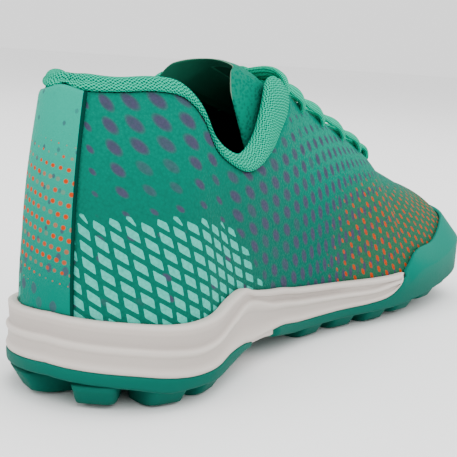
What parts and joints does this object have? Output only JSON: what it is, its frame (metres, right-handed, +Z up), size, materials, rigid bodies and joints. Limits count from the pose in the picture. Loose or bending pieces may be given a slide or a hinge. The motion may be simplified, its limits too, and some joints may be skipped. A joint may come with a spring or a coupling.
{
  "type": "turf_football_shoe",
  "caption": "Left low-cut football shoe for hard and artificial ground: thin hollow upper with an open padded collar, tongue, criss-cross laces, foam midsole and a lugged rubber outsole",
  "frame": {"origin": "middle of the sole's footprint, on the plane of the lowest lug feet", "axes": "+X towards the toe, +Y towards the outer side of the foot, +Z up; units metres in the packed files"},
  "size_m": [0.2874, 0.0966, 0.1118],
  "materials": {
    "outsole_rubber": "satin moulded rubber, green",
    "midsole_foam": "matte moulded foam, off-white",
    "insole_cloth": "dark brushed lining",
    "upper_print": "textured coated skin with a printed lattice",
    "strip_film": "smooth film with fine dots",
    "collar_knit": "fine knit over foam",
    "tongue_mesh": "thin padded mesh",
    "lace_weave": "flat woven lace"
  },
  "bodies": {
    "root": {"outsole": "outsole_rubber", "midsole": "midsole_foam", "insole": "insole_cloth", "upper": "upper_print", "heel_strip": "strip_film", "collar": "collar_knit", "tongue": "tongue_mesh", "lace_1": "lace_weave", "lace_2": "lace_weave", "lace_3": "lace_weave", "lace_4": "lace_weave", "lace_5": "lace_weave"}
  },
  "joints": []
}
